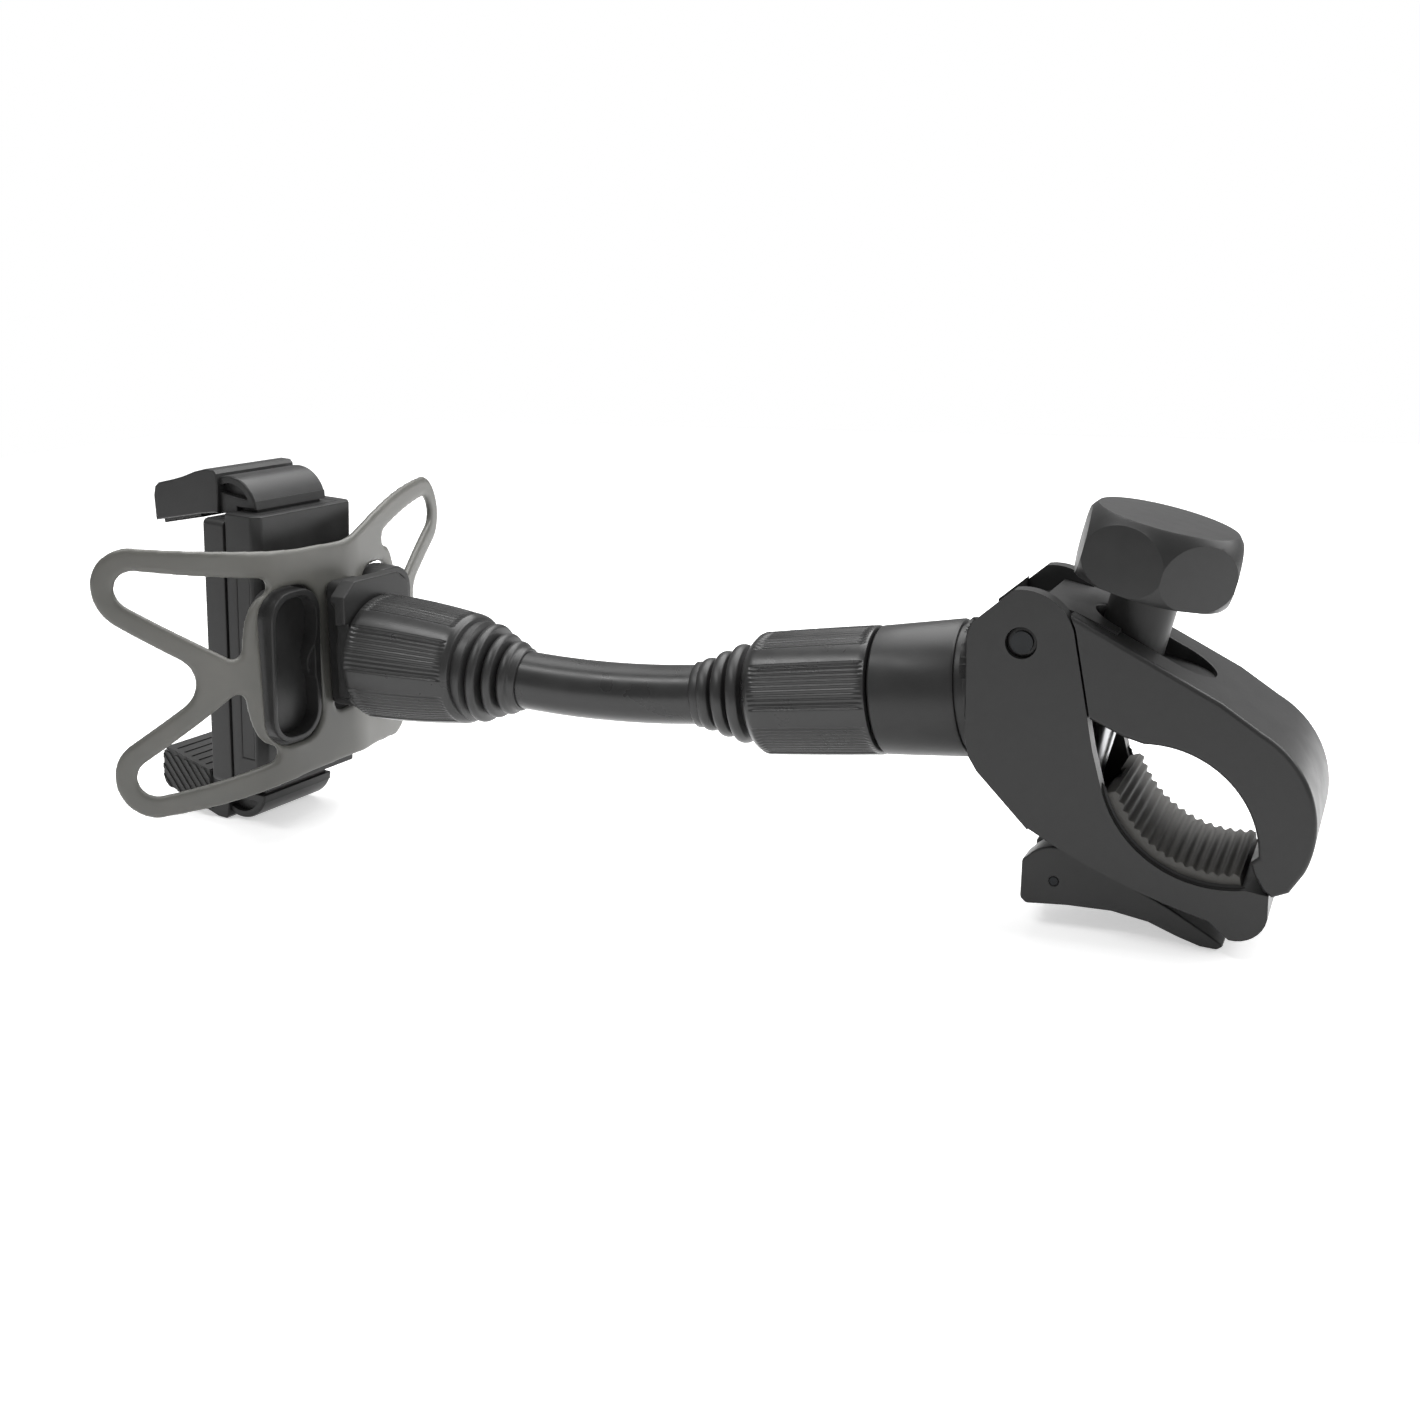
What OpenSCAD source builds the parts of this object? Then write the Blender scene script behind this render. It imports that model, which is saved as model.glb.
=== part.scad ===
// Phone holder on a jointed arm with a quick-release bar clamp, in millimetres.
// The origin is the middle of the bar that the clamp grips. Y runs along the bar, X along the
// arm from the phone holder to the clamp, and Z points up. The bar's mouth is a lens between two
// arcs, whose centres lie on either side of the origin.

/* [Bar clamp] */
// Width of the clamp along the bar
clamp_w = 44; // [42:1:48]
// Thickness of each cheek of the clamp body
cheek_t = 5; // [4:0.5:6]
// Diameter of the thinnest bar that the closed mouth holds
bar_d = 26.6; // [25:0.2:28]
// Radius of the two arcs that form the mouth
jaw_r = 28.2; // [27.5:0.1:29]
// Direction from the bar to the centre of the lower arc, from X towards Z
mouth_angle = 52; // [50:1:54]
// Distance of the jaw's pivot pin from the bar, back along X
pivot_back = 45; // [44:0.5:46]
// Height of the jaw's pivot pin above the bar
pivot_up = 40.5; // [40:0.5:41]
// Diameter of the pivot pin
pivot_d = 6; // [5:0.5:7]
// Thickness of the ribbed rubber pad
pad_t = 4; // [3.5:0.5:4]
// Number of ribs on the pad
pad_ribs = 15; // [11:1:17]

/* [Knob and cam] */
// Diameter of the knob at its widest
knob_d = 42.8; // [40:0.2:44]
// Height of the knob's head
knob_h = 19.3; // [18:0.1:21]
// Distance between two opposite flats of the knob
knob_flats = 36.8; // [34:0.2:40]
// Diameter of the knob's stem
stem_d = 18; // [16:0.5:19]
// Diameter of the threaded rod
rod_d = 6; // [5:0.5:7]
// Lean of the rod from upright
rod_lean = 12.5; // [11:0.5:16]
// Width of the cam lever
lever_w = 28; // [24:1:32]

/* [Ball joints and arm] */
// Diameter of the collar on the clamp side
clamp_collar_d = 37.5; // [36:0.5:39]
// Length of the collar on the clamp side
clamp_collar_l = 38.5; // [37:0.5:41]
// Diameter of the collar on the holder side
holder_collar_d = 40; // [38:0.5:42]
// Length of the collar on the holder side
holder_collar_l = 38; // [36:0.5:40]
// Diameter of the balls
ball_d = 20; // [19:0.5:21]
// Diameter of the arm
arm_d = 18; // [16:0.5:19]
// Angle that the arm's bend turns through
arm_bend = 11; // [8:0.5:13]
// Rise of the socket tube towards the clamp
tube_pitch = 7.5; // [6:0.5:9]

/* [Phone holder] */
// Width of the holder, along the lips
holder_w = 47.5; // [44:0.5:52]
// Height of the back shell
holder_h = 90; // [86:1:94]
// Depth of the holder from its face to its back
holder_t = 22.4; // [20:0.2:24]
// Turn of the holder about the vertical
holder_yaw = 6; // [3:1:9]
// Backward lean of the holder on its bracket
holder_lean = 3; // [0:0.5:4]
// Width of the lips that hold the phone
lip_w = 36; // [32:1:42]
// How far the bottom jaw stands open
bottom_open = 3.5; // [2.5:0.5:6]

/* [Silicone web] */
// Thickness of the silicone
web_t = 2.5; // [2:0.1:3]
// Outer radius of the loop ends
loop_r = 13; // [12:0.5:14]
// Radius that the near loops curl to
near_roll = 56; // [50:1:64]
// Angle that the far loops stand at
far_fold = 16.4; // [12:0.2:20]

/* [Hidden] */
$fn = 64;

// Pivot pin of the upper jaw, as [x, z]
pivot = [-pivot_back, pivot_up];
// Distance of each arc's centre from the bar
jaw_offset = jaw_r - bar_d / 2;
// Clearances: between moving faces, and in a running bore
gap = 0.4;
fit = 0.05;
// Lever's pin and the rod's start, as [x, z]
lever_pin = [-34.5, -27.5];
cam_pin_d = 5;
// Knob: height of the thrust washer's underside above the lever pin, along the rod
washer_at = 64.5;
washer_t = 2;
stem_l = 17.5;
// Ball centre on the clamp side, and the socket tube's length back into the body
ball_a = [-117, 0, 14.4];
tube_l = 63;
// Holder frame: middle of the back shell's back face
holder_at = [-286, -0.5, 13.2];
ball_b_reach = 57;
ball_b = holder_at + ball_b_reach * [cos(holder_yaw), -sin(holder_yaw), 0];

// Points on a circular arc from angle a0 to a1 round c
function arc(c, r, a0, a1, n = 12) =
    [for (i = [0:n]) let (a = a0 + (a1 - a0) * i / n) [c[0] + r * cos(a), c[1] + r * sin(a)]];

// Moves a drawn X-Z outline to Y thickness w
module slab(w, y = 0) {
    translate([0, y, 0]) rotate([90, 0, 0]) linear_extrude(w, center = true) children();
}
// Round bar along Y at [x, z]
module cross_bar(p, d, w, y = 0) {
    translate([p[0], y, p[1]]) rotate([90, 0, 0]) cylinder(d = d, h = w, center = true);
}
// Frame along the rod: Z runs up the rod from the lever's pin
module on_rod() {
    translate([lever_pin[0], 0, lever_pin[1]]) rotate([0, rod_lean, 0]) children();
}
// Frames of the two sockets: Z points out of each socket, from the ball's centre
module on_socket_a() {
    translate(ball_a) rotate([0, -90 - tube_pitch, 0]) children();
}
module on_holder() {
    translate(holder_at) rotate([0, 0, -holder_yaw]) children();
}
// Frame of the phone holder's box, which leans back on the bracket
module on_shell() {
    on_holder() translate([-2.4, 0, 0]) rotate([0, holder_lean, 0]) children();
}
module on_socket_b() {
    on_holder() translate([ball_b_reach, 0, 0]) rotate([0, 90, 0]) children();
}
// Frame of the arm: X runs from the clamp's ball to the holder's, and Y is the way it bows
arm_run = ball_b - ball_a;
arm_chord = norm(arm_run);
arm_yaw = atan2(arm_run[1], arm_run[0]);
arm_pitch = -asin(arm_run[2] / arm_chord);
arm_roll = -76;
// Straight length from each ball to the bend, and the bend's radius
arm_straight = 27;
arm_half = arm_bend / 2;
arm_r = (arm_chord / 2 - arm_straight * cos(arm_half)) / sin(arm_half);
module on_arm() {
    translate(ball_a) rotate([0, arm_pitch, arm_yaw]) rotate([arm_roll, 0, 0]) children();
}
// Frame at one end of the arm, with Z pointing from the ball along the arm
module on_arm_end(side) {
    on_arm() translate([side > 0 ? 0 : arm_chord, 0, 0]) rotate([0, 0, side * arm_half])
        rotate([0, side * 90, 0]) children();
}

// Outline of the cheeks, from the pivot
lower_c = [pivot_back + jaw_offset * cos(mouth_angle), jaw_offset * sin(mouth_angle) - pivot_up];
upper_c = [pivot_back - jaw_offset * cos(mouth_angle), -jaw_offset * sin(mouth_angle) - pivot_up];
seat_r = jaw_r + pad_t;
module cheek_outline() {
    polygon(concat(
        arc([0, 0], 14.3, 18, 100),
        [[-13.4, 4.5], [-14.5, 1], [-14, -27], [-13, -32.5], [-10.5, -36.5], [4, -51.2]],
        arc([94, 108], 182.5, 240.6, 257, 8),
        arc([59.5, -66.2], 8.2, 262, 352, 8),
        [[67.4, -60.8]],
        arc(lower_c, seat_r, 283, 197, 16),
        [[20.2, -27]]));
}
// Hollow between the cheeks, where the jaw's heel and the rod go
module cheek_hollow() {
    polygon([[-7.5, 30], [-7.5, -33], [2, -45.5], [19, -47], [25, -41], [23, -33], [40, -20], [40, 30]]);
}

module clamp_body() color("#3c3c3c") {
    difference() {
        union() {
            translate([pivot[0], 0, pivot[1]]) slab(clamp_w) cheek_outline();
            // Socket tube with its threaded neck
            on_socket_a() translate([0, 0, -tube_l]) cylinder(d1 = 39.8, d2 = 37.6, h = tube_l - 29.2);
            on_socket_a() translate([0, 0, -30]) cylinder(d = 31, h = 21);
        }
        // Room for the upper jaw and the rod between the cheeks
        translate([pivot[0], 0, pivot[1]]) slab(clamp_w - 2 * cheek_t) cheek_hollow();
        cross_bar(pivot, pivot_d + 2 * fit, clamp_w + 2);
        for (s = [-1, 1]) cross_bar(pivot, 8.6, 3.4, s * clamp_w / 2);
        // Slot in the lower jaw for the rod
        on_rod() translate([0, 0, 13]) cube([17, 9, 34], center = true);
        // Room for the cam's head, also where the rod is lifted
        for (z = [0, 3.2]) on_rod() translate([-1, 0, z]) slab(lever_w + 2) circle(d = 24);
        on_rod() translate([-1, 0, 1.6]) cube([23.9, lever_w + 2, 3.2], center = true);
        // Pad's recess, open to the mouth
        difference() {
            translate([pivot[0], 0, pivot[1]]) cross_bar(lower_c, 2 * seat_r + 0.1, clamp_w - 5);
            translate([-100, -50, -30]) cube([76, 100, 80]);
        }
        // Ball's cup
        on_socket_a() sphere(d = ball_d + 0.5);
        on_socket_a() translate([0, 0, -1]) cylinder(d = 25, h = 12);
        on_socket_a() translate([0, 0, -28]) cylinder(d = 13, h = 28);
    }
}

module pivot_pin() color("#55565a") {
    cross_bar(pivot, pivot_d, clamp_w - 1.6);
}

pad_a0 = 199;
pad_a1 = 281;
module pad_section() {
    step = (pad_a1 - pad_a0) / pad_ribs;
    difference() {
        circle(r = seat_r - 0.05, $fn = 128);
        circle(r = jaw_r + 1.1, $fn = 128);
        polygon(concat([[0, 0]], arc([0, 0], 60, pad_a1, 360 + pad_a0, 10)));
    }
    // Ribs across the pad
    for (i = [0:pad_ribs - 1]) let (a = pad_a0 + (i + 0.5) * step)
        rotate([0, 0, a]) translate([jaw_r + 1.05, 0]) square([2.1, 1.9], center = true);
}
module lower_pad() color("#5f5e59") {
    difference() {
        translate([pivot[0] + lower_c[0], 0, pivot[1] + lower_c[1]]) slab(clamp_w - 5.6) pad_section();
        // Notch that the rod passes through
        on_rod() translate([0, 0, 36]) cube([16, 9, 30], center = true);
    }
}

// Upper jaw, from the pivot: a hooked arm round the bar
module jaw_outline() {
    polygon(concat(
        [[12.5, 8.6], [20, 4.8]],
        [[40, -5], [52, -11]],
        arc([49, -43], 28.6, 62, -22, 12),
        [[72.2, -59.4], [68.2, -61.3], [65.8, -59.8]],
        [[63.2, -55.5], [62.2, -52.4]],
        arc(upper_c, jaw_r, 3, 95, 14),
        [[28, -22.8], [18, -18.5], [9, -11.5]]));
}
module upper_jaw() color("#3c3c3c") {
    inner = clamp_w / 2 - cheek_t - gap;
    difference() {
        intersection() {
            union() {
                translate([pivot[0], 0, pivot[1]]) slab(clamp_w) jaw_outline();
                // Boss on the pin, and the heel
                cross_bar(pivot, 14.4, 2 * inner);
                translate([pivot[0], 0, pivot[1]]) slab(2 * inner)
                    polygon([[0, 7.2], [3, 10.6], [12.5, 8.6], [24, 3.8], [20, -19], [9, -11.5], [0, -7.2]]);
            }
            // Narrow between the cheeks, then as wide as they are
            translate([pivot[0], 0, -60]) linear_extrude(160) polygon([
                [-20, -inner], [21, -inner], [22, -inner - 0.8], [28, -inner - 2.8], [34, -inner - 4.6],
                [40, -clamp_w / 2], [90, -clamp_w / 2], [90, clamp_w / 2], [40, clamp_w / 2],
                [34, inner + 4.6], [28, inner + 2.8], [22, inner + 0.8], [21, inner], [-20, inner]]);
        }
        cross_bar(pivot, pivot_d + 2 * fit + 0.05, clamp_w);
        // Slot for the knob's stem over a narrower one for the rod
        on_rod() translate([0, 0, washer_at]) {
            for (x = [-1.4, 15.8]) translate([x, 0, 0]) cylinder(d = stem_d + 2.4, h = 40);
            translate([-1.4, -(stem_d + 2.4) / 2, 0]) cube([17.2, stem_d + 2.4, 40]);
            cube([17, rod_d + 3.5, 70], center = true);
        }
    }
}

module clamp_rod() color("#9a9b9d") {
    difference() {
        union() {
            on_rod() cylinder(d = rod_d, h = 96);
            on_rod() slab(7.6) circle(d = 12);
        }
        cross_bar(lever_pin, cam_pin_d + 2 * fit, 20);
    }
}
module cam_pin() color("#77787a") {
    cross_bar(lever_pin, cam_pin_d, lever_w - 2);
    cross_bar(lever_pin, 2.4, lever_w - 0.3);
}

// Cam lever, from its pin: a round cam head and a blade under the lower jaw
module lever_outline() {
    polygon(concat(
        [[-9.2, 5], [-9.2, -6.2], [-7.5, -7.6]],
        [[4, -6.6], [16, -6.4], [26, -8], [34, -11], [40, -12.8]],
        [[44.5, -13], [46.2, -11.6], [42, -9]],
        [[32, -3.4], [20, 2.2], [11, 6.8]],
        arc([0, 0], 10, 60, 140, 8)));
}
module cam_lever() color("#3a3a3a") {
    difference() {
        intersection() {
            translate([lever_pin[0], 0, lever_pin[1]]) slab(lever_w) lever_outline();
            // The blade is trimmed clear of the lower jaw
            difference() {
                cube([300, 60, 300], center = true);
                translate([pivot[0], 0, pivot[1]]) slab(clamp_w)
                    polygon(concat([[12, -20], [12, -57.6]], arc([94, 108], 183, 243.5, 257, 8), [[80, -20]]));
            }
        }
        cross_bar(lever_pin, cam_pin_d + 2 * fit, lever_w - 2);
        cross_bar(lever_pin, 2.4 + 2 * fit, lever_w + 2);
        // Fork for the rod's eye
        on_rod() translate([2, 0, 0]) cube([26, 8.4, 34], center = true);
    }
}

module thrust_washer() color("#a0a1a3") on_rod() translate([0, 0, washer_at]) difference() {
    cylinder(d = stem_d - 1, h = washer_t - 0.2);
    translate([0, 0, -1]) cylinder(d = rod_d + 0.6, h = washer_t + 2);
}

// Knob: a swollen drum with a flat top and six round flats, on a hollow stem
module knob() color("#454545") on_rod() translate([0, 0, washer_at + washer_t]) difference() {
    union() {
        cylinder(d = stem_d, h = stem_l + 2);
        translate([0, 0, stem_l]) intersection() {
            rotate_extrude($fn = 96) polygon(concat([[0, 0]],
                arc([knob_d / 2 - 13.5, 8], 13.5, -36.34, asin((knob_h - 8) / 13.5), 9), [[0, knob_h]]));
            rotate([0, 0, -18]) cylinder(d = knob_flats / cos(30), h = knob_h, $fn = 6);
        }
    }
    translate([0, 0, -1]) cylinder(d = 10, h = 21);
    translate([0, 0, -1]) cylinder(d = rod_d + 0.6, h = stem_l + knob_h - 4);
}
module knob_insert() color("#b08d4a") on_rod() translate([0, 0, washer_at + washer_t + 1]) difference() {
    cylinder(d = 9.9, h = 18);
    translate([0, 0, -1]) cylinder(d = rod_d + 2 * fit, h = 20);
}

// Seat ring that the collar presses on the ball: the parameter flips nothing, both are alike
module seat_ring() {
    difference() {
        translate([0, 0, 1.2]) cylinder(d = 24.6, h = 6);
        sphere(d = ball_d + 2 * fit);
        translate([0, 0, 4]) cylinder(d1 = 14, d2 = 21, h = 5);
    }
}
module clamp_seat_ring() color("#8a8b8d") on_socket_a() seat_ring();
module holder_seat_ring() color("#8a8b8d") on_socket_b() seat_ring();

// Twist collar: Z points out of its mouth, z = 0 is the ball's centre
function collar_side(d, l, small, sink) = let (back = 10 - l, run = l - 3.4)
    [for (i = [0:3]) [d / 2 - sink - (d - small) / 2 * pow(i / 3, 1.7), back + 0.9 + (run - 0.9) * i / 3]];
module collar(d, l, small, mouth_d, turn) {
    back = 10 - l;
    difference() {
        rotate_extrude($fn = 96) polygon(concat([[0, back], [d / 2 - 0.8, back]],
            collar_side(d, l, small, 0), [[mouth_d / 2 + 0.6, 9.3], [mouth_d / 2, 10], [0, 10]]));
        // Neck's room, seat ring's room and mouth
        translate([0, 0, back - 1]) cylinder(d = 31 + 2 * fit, h = -8.6 - back + 1);
        translate([0, 0, -9]) cylinder(d = 25.2, h = 16.6);
        cylinder(d = mouth_d - 5, h = 12);
        // Six sunk panels, parted by glossy lands
        for (p = [0:5]) rotate([0, 0, p * 60 + turn + 8.5]) rotate_extrude(angle = 43, $fn = 96)
            polygon(concat([[d / 2 + 2, back + 1.6]], [[collar_side(d, l, small, 0.5)[0][0], back + 1.6]],
                [for (i = [1, 2]) collar_side(d, l, small, 0.5)[i]],
                [[small / 2 - 0.5, 6.2], [d / 2 + 2, 6.2]]));
    }
}
module clamp_collar() color("#3f3f3f") on_socket_a()
    collar(clamp_collar_d, clamp_collar_l, clamp_collar_d - 1.5, 30, 18);
module holder_collar() color("#3f3f3f") on_socket_b()
    collar(holder_collar_d, holder_collar_l, holder_collar_d - 4.6, 31.6, 40);

// Ball with its stud, on the end of the arm
module ball_stud(side) {
    on_arm_end(side) difference() {
        union() {
            sphere(d = ball_d);
            cylinder(d = 11, h = 24);
        }
        translate([0, 0, -12]) cylinder(d = 8, h = 6);
    }
}
module clamp_ball() color("#8c8d90") ball_stud(1);
module holder_ball() color("#8c8d90") ball_stud(-1);

// Rubber boot: three round rings that shrink from the collar to the arm, cut flush with the collar
function boot_side(crests, pitch, start) = concat(
    [[crests[0] + 0.2, start - 4], [crests[0] + 0.2, start + 0.2]],
    [for (i = [0:2]) let (mid = start + 1.6 + pitch * (i + 0.5)) each concat(
        [[crests[i] - 1.9, mid - pitch / 2]],
        [for (a = [-80:40:80]) [crests[i] - 1.1 + 1.1 * cos(a), mid + pitch * 0.36 * sin(a)]])],
    [[crests[2] - 1.9, start + 1.6 + pitch * 3]]);
module bellows(side, crests, pitch, start) {
    outer = boot_side(crests, pitch, start);
    n = len(outer) - 1;
    on_arm_end(side) rotate_extrude($fn = 72) polygon(concat(outer, [for (i = [n:-1:0])
        [max(min(outer[i][0], crests[0]) - (i > n - 8 ? 3 : 2.6), arm_d / 2 + 0.05), outer[i][1]]]));
}
module clamp_bellows() color("#363636") difference() {
    bellows(1, [14.8, 12.9, 11], 5.2, 10.3);
    on_socket_a() translate([0, 0, -50]) cylinder(d = 80, h = 60.05);
}
module holder_bellows() color("#363636") difference() {
    bellows(-1, [15.6, 13.4, 11.6], 4.3, 10.3);
    on_socket_b() translate([0, 0, -50]) cylinder(d = 80, h = 60.05);
}

// Arm: a tube with a gentle bend between two straight ends, over the balls' studs
arm_from = 14.6;
module arm() color("#434343") {
    difference() {
        union() {
            for (s = [-1, 1]) on_arm_end(s) translate([0, 0, arm_from])
                cylinder(d = arm_d - 0.06, h = arm_straight - arm_from + 1);
            on_arm() translate([arm_chord / 2, arm_straight * sin(arm_half) - arm_r * cos(arm_half), 0])
                rotate([0, 0, 90 - arm_half]) rotate_extrude(angle = arm_bend, $fn = 360)
                translate([arm_r, 0]) circle(d = arm_d);
        }
        for (s = [-1, 1]) on_arm_end(s) cylinder(d = 11.02, h = 24.1);
    }
}

// Round-cornered plate across the holder: w along Y, h along Z, from x0 to x1
module plate(w, h, x0, x1, r, z = 0) {
    translate([x0, 0, z]) rotate([90, 0, 90]) linear_extrude(x1 - x0)
        union() {
            square([w - 2 * r, h], center = true);
            square([w, h - 2 * r], center = true);
            for (sy = [-1, 1], sz = [-1, 1]) translate([sy * (w / 2 - r), sz * (h / 2 - r)]) circle(r = r);
        }
}
// Web: its flat pattern, as [distance from the middle, height]
web_t0 = 9.8;
web_mid = web_t0 + web_t / 2;
near_from = 21.5;
far_from = 2;
far_roll = 35;
far_x = web_mid - far_roll * (1 - cos(far_fold));
far_y = far_from + far_roll * sin(far_fold);
function smooth(t) = let (c = max(0, min(1, t))) c * c * (3 - 2 * c);
// Where a point of the flat pattern lies once the sheet is bent, seen from behind
function bent(p) = p[0] < -near_from
    ? [-near_from - near_roll * sin((-p[0] + web_reach(p) - near_from) / near_roll * 180 / PI), p[1]]
    : p[0] > far_from ? [far_run(p[0] - far_from), p[1] + far_rise(p[0], p[1])] : p;
function web_reach(p) = max(0, -p[0] - 30) * max(0, p[1]) * 0.0014;
function far_climb(s) = s < 8 ? 0.45 * smooth((s - 2) / 6) : 0.45 + 0.28 * (s - 8) - 0.003 * (s - 8) * (s - 8);
// Below the middle the far half starts to climb past its eyelet
function far_rise(s, z) = let (up = smooth((z + 14) / 24)) far_climb(s) * (up + (1 - up) * smooth((s - 34) / 14));
function far_run(s) = s < far_roll * far_fold * PI / 180
    ? far_from + far_roll * sin(s / far_roll * 180 / PI)
    : far_y + (s - far_roll * far_fold * PI / 180) * cos(far_fold);
web_side = concat([[0, 36.3], [17, 36.6], [30, 37.7], [50, 40]],
    [for (q = arc([-69.5, 29.3], loop_r, 95, 238, 12)) [-q[0], q[1]]],
    [for (q = arc([-65.3, 0], 9, 56, 0, 5)) [-q[0], q[1]]]);
web_hole = [for (q = concat(arc([-69.8, 29.3], 5.9, 82, 238, 9), arc([-44, 8.6], 2.9, -122, 0, 5),
    [[-40.6, 12], [-39.6, 16.5], [-37.9, 20.3], [-35.8, 22.9]], arc([-34.2, 26.7], 2.9, -45, 82, 5)))
    [-q[0], q[1]]];
module bent_polygon(points, sx = 1, sz = 1) {
    polygon([for (q = points) bent([sx * q[0], sz * q[1]])]);
}
eyelet_y = 23;
boss_w = 22;
boss_h = 49;
// Corners of an upright round-cornered window
function window(y, w, h, r, n = 5) = [for (k = [0:3]) each arc(
    [y + (k == 0 || k == 3 ? 1 : -1) * (w / 2 - r), (k < 2 ? 1 : -1) * (h / 2 - r)], r, k * 90, k * 90 + 90, n)];
module web_outline() {
    difference() {
        bent_polygon(concat(web_side, [for (i = [len(web_side) - 2:-1:0]) [web_side[i][0], -web_side[i][1]]],
            [for (i = [1:len(web_side) - 1]) [-web_side[i][0], -web_side[i][1]]],
            [for (i = [len(web_side) - 2:-1:1]) [-web_side[i][0], web_side[i][1]]]));
        for (sx = [-1, 1], sz = [-1, 1]) bent_polygon(web_hole, sx, sz);
        for (s = [-1, 1]) polygon(window(s * (eyelet_y + 0.1), boss_w + 2.4, boss_h + 1.5, 9));
        polygon(window(0, 10, 38, 2.5));
    }
}
module silicone_web() color("#6e6d6b") on_holder() translate([0, 0, -0.4]) intersection() {
    translate([-60, 0, 0]) rotate([90, 0, 90]) linear_extrude(100) web_outline();
    translate([0, 0, -60]) union() {
        translate([web_t0, -near_from, 0]) cube([web_t, near_from + far_from, 120]);
        translate([web_mid - near_roll, -near_from + 0.005, 0]) rotate([0, 0, -66]) rotate_extrude(angle = 66, $fn = 96)
            translate([near_roll - web_t / 2, 0]) square([web_t, 120]);
        translate([web_mid - far_roll, far_from - 0.005, 0]) rotate_extrude(angle = far_fold, $fn = 96)
            translate([far_roll - web_t / 2, 0]) square([web_t, 120]);
        translate([far_x, far_y - 0.005, 0]) rotate([0, 0, far_fold]) translate([-web_t / 2, -0.01, 0])
            cube([web_t, 70, 120]);
    }
}

// Bracket: a base with two bosses for the web's eyelets, and a neck through the web to the socket
module mount_bracket() color("#393939") difference() {
    union() {
        on_shell() {
            plate(50, 40, 0.1, 6, 6);
            for (s = [-1, 1]) translate([5.9, 0, 0.3]) rotate([90, 0, 90])
                linear_extrude(13.2) polygon(window(s * (eyelet_y - 0.2), boss_w, boss_h, 8.4));
        }
        on_holder() {
            plate(9.2, 34, 2, 14, 2);
            plate(15, 41, 12.8, 24, 3, 3.5);
            // Tab above the socket
            translate([22, 0, 0]) rotate([90, 0, 90]) linear_extrude(5.8)
                polygon([[-16, -12], [16, -12], [16, 26.5], [10.5, 30.5], [-10.5, 30.5], [-16, 26.5]]);
            on_neck() cylinder(d1 = 38, d2 = 36, h = 2.6);
            // Threaded neck with the ball's cup
            on_neck() difference() {
                cylinder(d = 31, h = 22);
                translate([0, 0, 3]) cylinder(d = 12, h = 20);
                translate([0, 0, 19]) cylinder(d = 25, h = 4);
            }
        }
    }
    // Finger scoops in the two bosses
    on_shell() for (s = [-1, 1]) translate([31.5, s * eyelet_y, -4]) rotate([90, 0, 0])
        cylinder(r = 18.6, h = 17, center = true);
    on_shell() for (s = [-1, 1]) translate([-1, 0, s * 13]) rotate([0, 90, 0]) cylinder(d = 3, h = 9);
}
module on_neck() { translate([26, 0, 0]) rotate([0, 90, 0]) children(); }
module bracket_screws() color("#8d8e90") on_shell() for (s = [-1, 1]) translate([0, 0, s * 13]) {
    translate([-5, 0, 0]) rotate([0, 90, 0]) cylinder(d = 2.9, h = 12.5);
    translate([-6, 0, 0]) rotate([0, 90, 0]) cylinder(d = 5.4, h = 2.4);
}

// Holder: a back shell and a face plate, with the jaws' slides between them
shell_x = -13.6;
slide_w = 29.2;
module holder_back() color("#404040") on_shell() difference() {
    translate([shell_x, 0, -holder_h / 2 - 0.8]) linear_extrude(holder_h + 1.6) polygon([
        [0, -holder_w / 2 + 0.6], [0, holder_w / 2 - 0.6], [-shell_x - 2.5, holder_w / 2 - 0.6],
        [-shell_x, holder_w / 2 - 3], [-shell_x, -holder_w / 2 + 3], [-shell_x - 2.5, -holder_w / 2 + 0.6]]);
    // Room for the slides, their springs and rods
    translate([shell_x - 1, -18, -36]) cube([11.2, 36, 100]);
    translate([shell_x - 1, -slide_w / 2 - 0.1, -60]) cube([7.3, slide_w + 0.2, 60]);
    for (s = [-1, 1]) translate([-8, 0, s * 13]) rotate([0, 90, 0]) cylinder(d = 3, h = 12);
    for (y = [-1, 1], z = [-1, 1]) translate([shell_x - 1, y * 20.4, z * 37]) rotate([0, 90, 0])
        cylinder(d = 2.2, h = 9);
    // Side grooves
    for (s = [-1, 1]) translate([-6.5, s * (holder_w / 2 - 0.6), -4]) cube([5, 1.6, 62], center = true);
}
front_x0 = -holder_t;
module holder_front() color("#414141") on_shell() difference() {
    union() {
        plate(holder_w, holder_h - 1, front_x0, shell_x - 0.1, 2, -1.3);
        // Raised panel that the phone lies on
        plate(40, 62, front_x0 - 0.6, front_x0 + 1, 3, 1);
    }
    translate([front_x0 + 3, -18, -37]) cube([7, 36, 100]);
    translate([shell_x - 4.9, -slide_w / 2 - 0.1, -60]) cube([6, slide_w + 0.2, 60]);
    for (y = [-1, 1], z = [-1, 1]) translate([front_x0 - 1, y * 20.4, z * 37]) rotate([0, 90, 0]) {
        cylinder(d = 2.4, h = 12);
        cylinder(d = 4.6, h = 4);
    }
}
module front_screws() color("#8d8e90") on_shell() for (y = [-1, 1], z = [-1, 1])
    translate([front_x0, y * 20.4, z * 37]) rotate([0, 90, 0]) {
        translate([0, 0, 0.9]) cylinder(d = 4.2, h = 2);
        translate([0, 0, 1]) cylinder(d = 2.1, h = 13);
    }

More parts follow.
